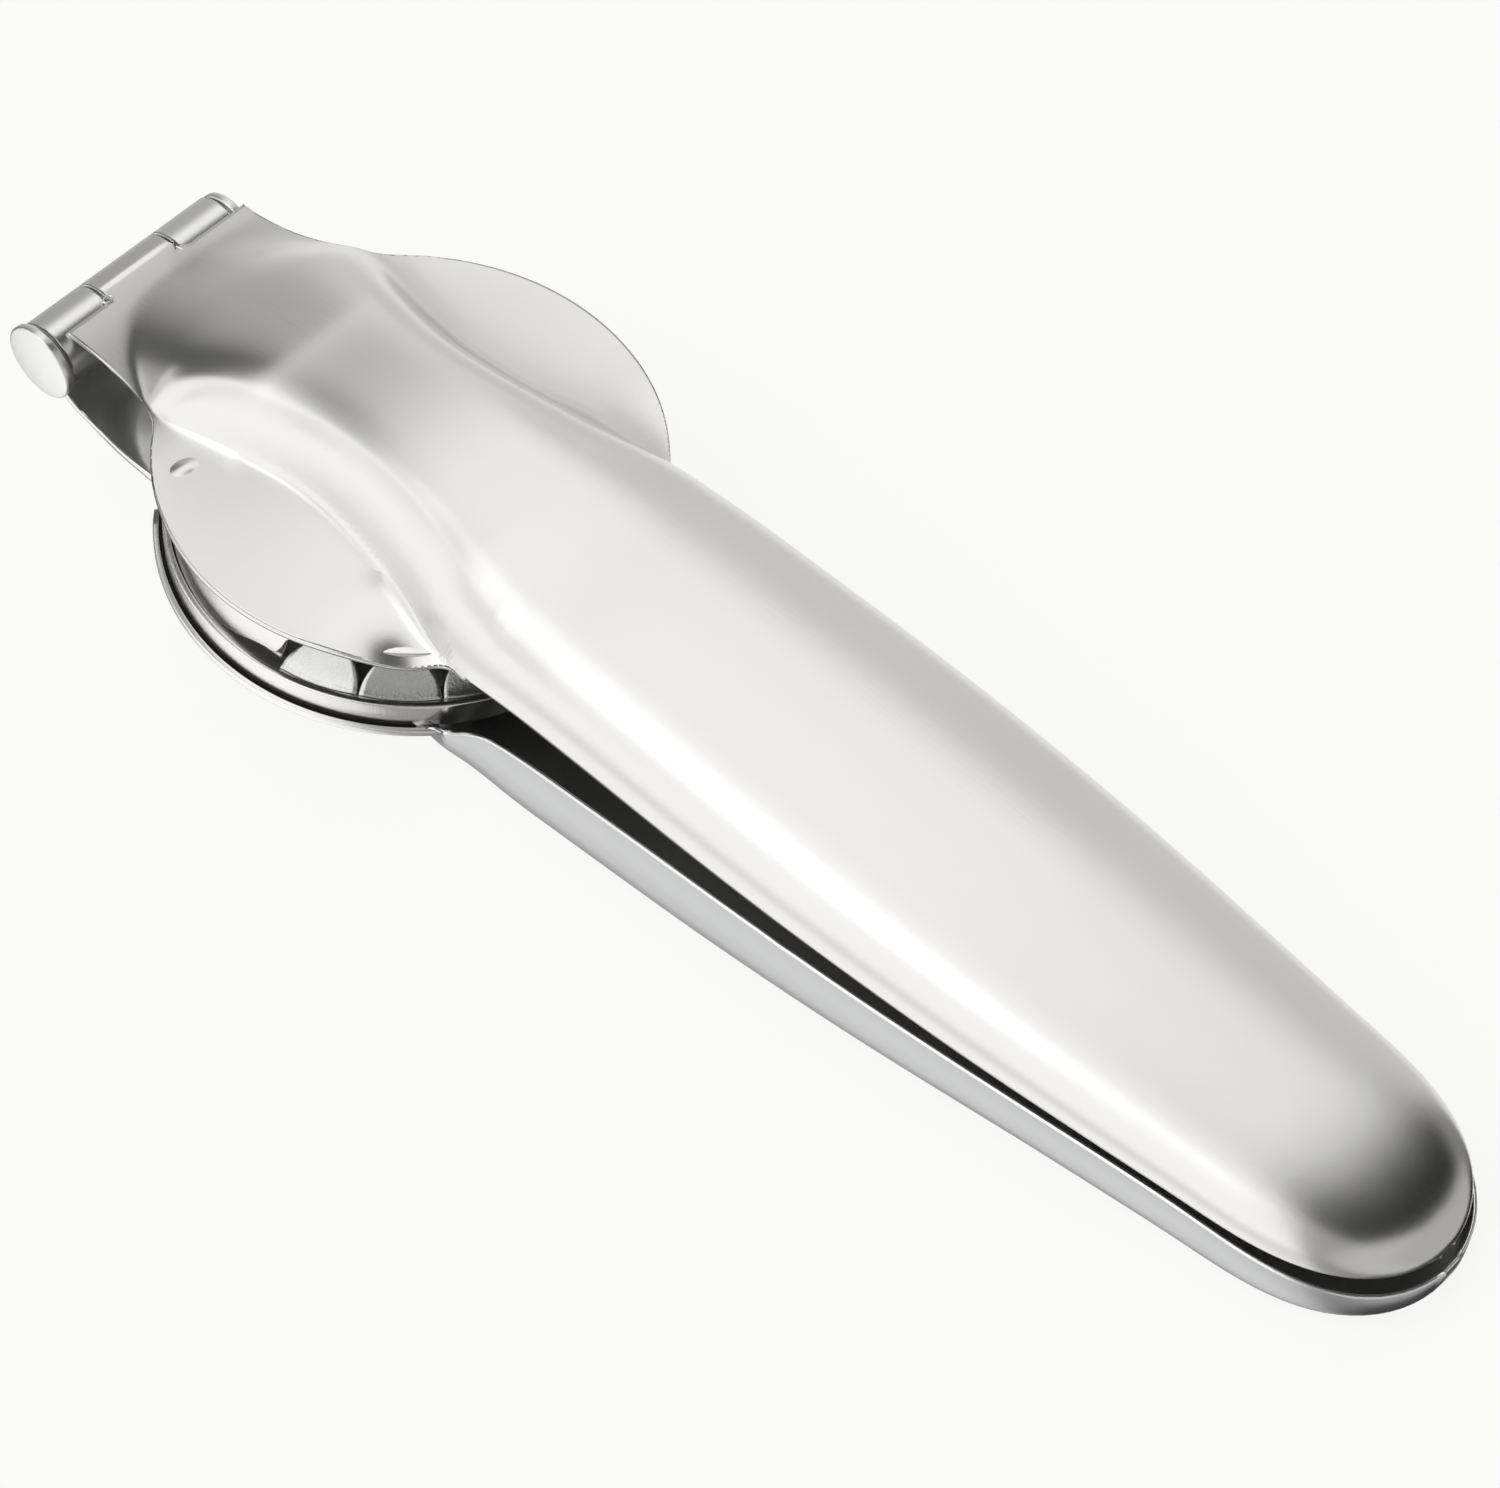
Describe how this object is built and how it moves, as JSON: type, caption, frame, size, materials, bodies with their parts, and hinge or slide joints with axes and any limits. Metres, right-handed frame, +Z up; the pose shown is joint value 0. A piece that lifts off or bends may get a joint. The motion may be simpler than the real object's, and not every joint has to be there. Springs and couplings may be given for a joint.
{
  "type": "toothed hand press",
  "caption": "Two-handled hand press of pressed stainless sheet, with round heads on a pin hinge, a ring of inward teeth and a cross-shaped blade.",
  "frame": {"origin": "on the surface it rests on, under the middle of its bounding box", "axes": "+X from the hinge to the handles' tips, +Y across the press from the near side to the far side, +Z up"},
  "size_m": [0.1854, 0.0566, 0.0284],
  "materials": {
    "lid_sheet": "satin",
    "trough_sheet": "satin",
    "hinge_steel": "satin",
    "insert_steel": "bright"
  },
  "bodies": {
    "lower_body": {"lower_arm": "trough_sheet", "hinge_pin": "hinge_steel", "near_pin_cap": "hinge_steel", "far_pin_cap": "hinge_steel", "ring_band": "insert_steel", "tooth_crown": "insert_steel"},
    "upper_body": {"upper_arm": "lid_sheet", "skirt_plate": "insert_steel", "cross_blade": "insert_steel"}
  },
  "joints": [
    {"name": "arm_hinge", "type": "hinge", "parent": "lower_body", "child": "upper_body", "pos_m": [-0.08808, 0, 0.01655], "axis": [0, -1, 0], "range_deg": [0, 150]}
  ]
}
